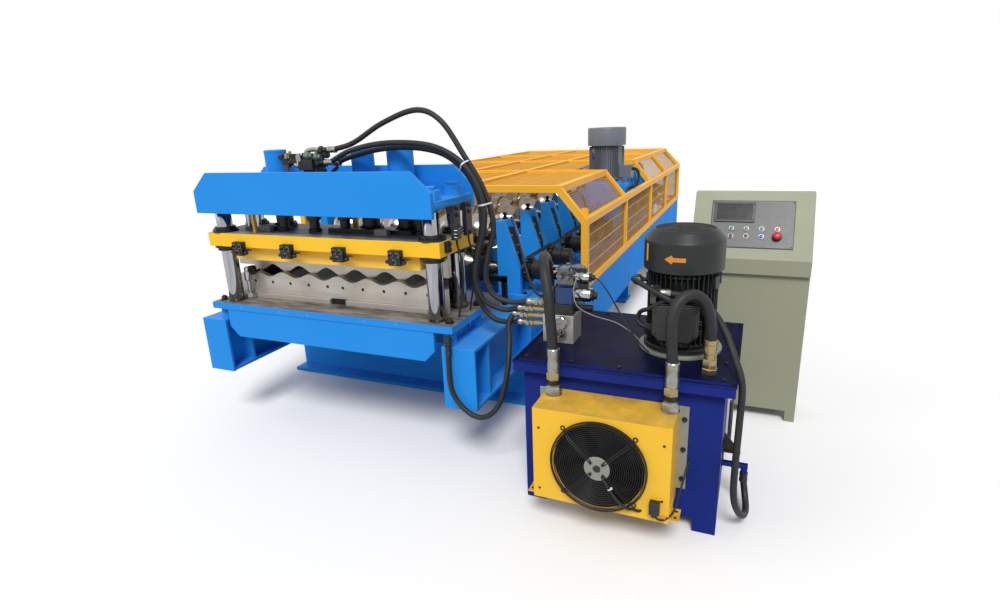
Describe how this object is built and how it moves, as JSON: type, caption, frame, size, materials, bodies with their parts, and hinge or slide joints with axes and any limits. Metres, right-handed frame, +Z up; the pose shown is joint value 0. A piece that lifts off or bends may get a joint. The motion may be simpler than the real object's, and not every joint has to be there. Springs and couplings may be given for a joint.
{
  "type": "roll forming machine",
  "caption": "Roll former for stepped roof tile sheet, with wavy rollers in a guard cage, a front shearing press, a hydraulic power station with oil cooler, and a control console.",
  "frame": {"origin": "on the floor, at the middle of the front floor beam's underside, on the centre plane of the rollers and the press", "axes": "+X to the side of the power station and the console, +Y back along the machine from the press to the sheet entry, +Z up"},
  "size_m": [3.305, 5.7883, 1.697],
  "materials": {
    "blue_paint": "gloss",
    "navy_paint": "gloss",
    "yellow_paint": "gloss",
    "bare_steel": "ground",
    "chrome": "polished",
    "black_finish": "satin",
    "black_rubber": "matt",
    "motor_green": "satin",
    "motor_grey": "satin",
    "console_paint": "satin",
    "panel_grey": "satin"
  },
  "bodies": {
    "machine": {"base_frame": "blue_paint", "stands_right": "blue_paint", "stands_left": "blue_paint", "press_bed": "blue_paint", "lower_blade": "bare_steel", "column_left_front": "chrome", "column_left_rear": "chrome", "column_right_front": "chrome", "column_right_rear": "chrome", "top_frame": "blue_paint", "press_valves": "black_finish", "guard_right": "yellow_paint", "guard_left": "yellow_paint", "guard_roof": "yellow_paint", "guard_end": "yellow_paint", "side_cover_right": "blue_paint", "side_cover_left": "blue_paint", "drive_gearbox": "blue_paint", "drive_motor": "motor_grey", "oil_tank": "navy_paint", "pump_motor": "motor_green", "valve_manifold": "bare_steel", "oil_cooler": "yellow_paint", "fan_guard": "black_finish", "console_body": "console_paint", "console_panel": "panel_grey", "hose_high": "black_rubber", "hose_bundle_1": "black_rubber", "hose_bundle_2": "black_rubber", "hose_bed_loop": "black_rubber", "hose_cooler_left": "black_rubber", "hose_cooler_right": "black_rubber", "hose_tank_side": "black_rubber"},
    "lower_roller_1": {"lower_roller_1": "chrome"},
    "upper_roller_1": {"upper_roller_1": "chrome"},
    "lower_roller_2": {"lower_roller_2": "chrome"},
    "upper_roller_2": {"upper_roller_2": "chrome"},
    "lower_roller_3": {"lower_roller_3": "chrome"},
    "upper_roller_3": {"upper_roller_3": "chrome"},
    "lower_roller_4": {"lower_roller_4": "chrome"},
    "upper_roller_4": {"upper_roller_4": "chrome"},
    "lower_roller_5": {"lower_roller_5": "chrome"},
    "upper_roller_5": {"upper_roller_5": "chrome"},
    "lower_roller_6": {"lower_roller_6": "chrome"},
    "upper_roller_6": {"upper_roller_6": "chrome"},
    "lower_roller_7": {"lower_roller_7": "chrome"},
    "upper_roller_7": {"upper_roller_7": "chrome"},
    "lower_roller_8": {"lower_roller_8": "chrome"},
    "upper_roller_8": {"upper_roller_8": "chrome"},
    "lower_roller_9": {"lower_roller_9": "chrome"},
    "upper_roller_9": {"upper_roller_9": "chrome"},
    "lower_roller_10": {"lower_roller_10": "chrome"},
    "upper_roller_10": {"upper_roller_10": "chrome"},
    "lower_roller_11": {"lower_roller_11": "chrome"},
    "upper_roller_11": {"upper_roller_11": "chrome"},
    "lower_roller_12": {"lower_roller_12": "chrome"},
    "upper_roller_12": {"upper_roller_12": "chrome"},
    "press_platen": {"platen": "yellow_paint", "upper_blade": "bare_steel"},
    "fan": {"cooler_fan": "black_finish"}
  },
  "joints": [
    {"name": "lower_roller_1_spin", "type": "hinge", "parent": "machine", "child": "lower_roller_1", "pos_m": [0, 0.08, 0.79], "axis": [1, 0, 0], "continuous": true},
    {"name": "upper_roller_1_spin", "type": "hinge", "parent": "machine", "child": "upper_roller_1", "pos_m": [0, 0.08, 1], "axis": [1, 0, 0], "continuous": true},
    {"name": "lower_roller_2_spin", "type": "hinge", "parent": "machine", "child": "lower_roller_2", "pos_m": [0, 0.465, 0.79], "axis": [1, 0, 0], "continuous": true},
    {"name": "upper_roller_2_spin", "type": "hinge", "parent": "machine", "child": "upper_roller_2", "pos_m": [0, 0.465, 1], "axis": [1, 0, 0], "continuous": true},
    {"name": "lower_roller_3_spin", "type": "hinge", "parent": "machine", "child": "lower_roller_3", "pos_m": [0, 0.85, 0.79], "axis": [1, 0, 0], "continuous": true},
    {"name": "upper_roller_3_spin", "type": "hinge", "parent": "machine", "child": "upper_roller_3", "pos_m": [0, 0.85, 1], "axis": [1, 0, 0], "continuous": true},
    {"name": "lower_roller_4_spin", "type": "hinge", "parent": "machine", "child": "lower_roller_4", "pos_m": [0, 1.235, 0.79], "axis": [1, 0, 0], "continuous": true},
    {"name": "upper_roller_4_spin", "type": "hinge", "parent": "machine", "child": "upper_roller_4", "pos_m": [0, 1.235, 1], "axis": [1, 0, 0], "continuous": true},
    {"name": "lower_roller_5_spin", "type": "hinge", "parent": "machine", "child": "lower_roller_5", "pos_m": [0, 1.62, 0.79], "axis": [1, 0, 0], "continuous": true},
    {"name": "upper_roller_5_spin", "type": "hinge", "parent": "machine", "child": "upper_roller_5", "pos_m": [0, 1.62, 1], "axis": [1, 0, 0], "continuous": true},
    {"name": "lower_roller_6_spin", "type": "hinge", "parent": "machine", "child": "lower_roller_6", "pos_m": [0, 2.005, 0.79], "axis": [1, 0, 0], "continuous": true},
    {"name": "upper_roller_6_spin", "type": "hinge", "parent": "machine", "child": "upper_roller_6", "pos_m": [0, 2.005, 1], "axis": [1, 0, 0], "continuous": true},
    {"name": "lower_roller_7_spin", "type": "hinge", "parent": "machine", "child": "lower_roller_7", "pos_m": [0, 2.39, 0.79], "axis": [1, 0, 0], "continuous": true},
    {"name": "upper_roller_7_spin", "type": "hinge", "parent": "machine", "child": "upper_roller_7", "pos_m": [0, 2.39, 1], "axis": [1, 0, 0], "continuous": true},
    {"name": "lower_roller_8_spin", "type": "hinge", "parent": "machine", "child": "lower_roller_8", "pos_m": [0, 2.775, 0.79], "axis": [1, 0, 0], "continuous": true},
    {"name": "upper_roller_8_spin", "type": "hinge", "parent": "machine", "child": "upper_roller_8", "pos_m": [0, 2.775, 1], "axis": [1, 0, 0], "continuous": true},
    {"name": "lower_roller_9_spin", "type": "hinge", "parent": "machine", "child": "lower_roller_9", "pos_m": [0, 3.16, 0.79], "axis": [1, 0, 0], "continuous": true},
    {"name": "upper_roller_9_spin", "type": "hinge", "parent": "machine", "child": "upper_roller_9", "pos_m": [0, 3.16, 1], "axis": [1, 0, 0], "continuous": true},
    {"name": "lower_roller_10_spin", "type": "hinge", "parent": "machine", "child": "lower_roller_10", "pos_m": [0, 3.545, 0.79], "axis": [1, 0, 0], "continuous": true},
    {"name": "upper_roller_10_spin", "type": "hinge", "parent": "machine", "child": "upper_roller_10", "pos_m": [0, 3.545, 1], "axis": [1, 0, 0], "continuous": true},
    {"name": "lower_roller_11_spin", "type": "hinge", "parent": "machine", "child": "lower_roller_11", "pos_m": [0, 3.93, 0.79], "axis": [1, 0, 0], "continuous": true},
    {"name": "upper_roller_11_spin", "type": "hinge", "parent": "machine", "child": "upper_roller_11", "pos_m": [0, 3.93, 1], "axis": [1, 0, 0], "continuous": true},
    {"name": "lower_roller_12_spin", "type": "hinge", "parent": "machine", "child": "lower_roller_12", "pos_m": [0, 4.315, 0.79], "axis": [1, 0, 0], "continuous": true},
    {"name": "upper_roller_12_spin", "type": "hinge", "parent": "machine", "child": "upper_roller_12", "pos_m": [0, 4.315, 1], "axis": [1, 0, 0], "continuous": true},
    {"name": "press_stroke", "type": "slide", "parent": "machine", "child": "press_platen", "axis": [0, 0, 1], "range_m": [-0.052, 0]},
    {"name": "fan_spin", "type": "hinge", "parent": "machine", "child": "fan", "pos_m": [1.484, -1.1323, 0.349], "axis": [0, 1, 0], "continuous": true}
  ],
  "couplings": [
    {"joint": "upper_roller_1_spin", "follows": "lower_roller_1_spin", "ratio": -1},
    {"joint": "lower_roller_2_spin", "follows": "lower_roller_1_spin", "ratio": 1},
    {"joint": "upper_roller_2_spin", "follows": "lower_roller_1_spin", "ratio": -1},
    {"joint": "lower_roller_3_spin", "follows": "lower_roller_1_spin", "ratio": 1},
    {"joint": "upper_roller_3_spin", "follows": "lower_roller_1_spin", "ratio": -1},
    {"joint": "lower_roller_4_spin", "follows": "lower_roller_1_spin", "ratio": 1},
    {"joint": "upper_roller_4_spin", "follows": "lower_roller_1_spin", "ratio": -1},
    {"joint": "lower_roller_5_spin", "follows": "lower_roller_1_spin", "ratio": 1},
    {"joint": "upper_roller_5_spin", "follows": "lower_roller_1_spin", "ratio": -1},
    {"joint": "lower_roller_6_spin", "follows": "lower_roller_1_spin", "ratio": 1},
    {"joint": "upper_roller_6_spin", "follows": "lower_roller_1_spin", "ratio": -1},
    {"joint": "lower_roller_7_spin", "follows": "lower_roller_1_spin", "ratio": 1},
    {"joint": "upper_roller_7_spin", "follows": "lower_roller_1_spin", "ratio": -1},
    {"joint": "lower_roller_8_spin", "follows": "lower_roller_1_spin", "ratio": 1},
    {"joint": "upper_roller_8_spin", "follows": "lower_roller_1_spin", "ratio": -1},
    {"joint": "lower_roller_9_spin", "follows": "lower_roller_1_spin", "ratio": 1},
    {"joint": "upper_roller_9_spin", "follows": "lower_roller_1_spin", "ratio": -1},
    {"joint": "lower_roller_10_spin", "follows": "lower_roller_1_spin", "ratio": 1},
    {"joint": "upper_roller_10_spin", "follows": "lower_roller_1_spin", "ratio": -1},
    {"joint": "lower_roller_11_spin", "follows": "lower_roller_1_spin", "ratio": 1},
    {"joint": "upper_roller_11_spin", "follows": "lower_roller_1_spin", "ratio": -1},
    {"joint": "lower_roller_12_spin", "follows": "lower_roller_1_spin", "ratio": 1},
    {"joint": "upper_roller_12_spin", "follows": "lower_roller_1_spin", "ratio": -1}
  ]
}
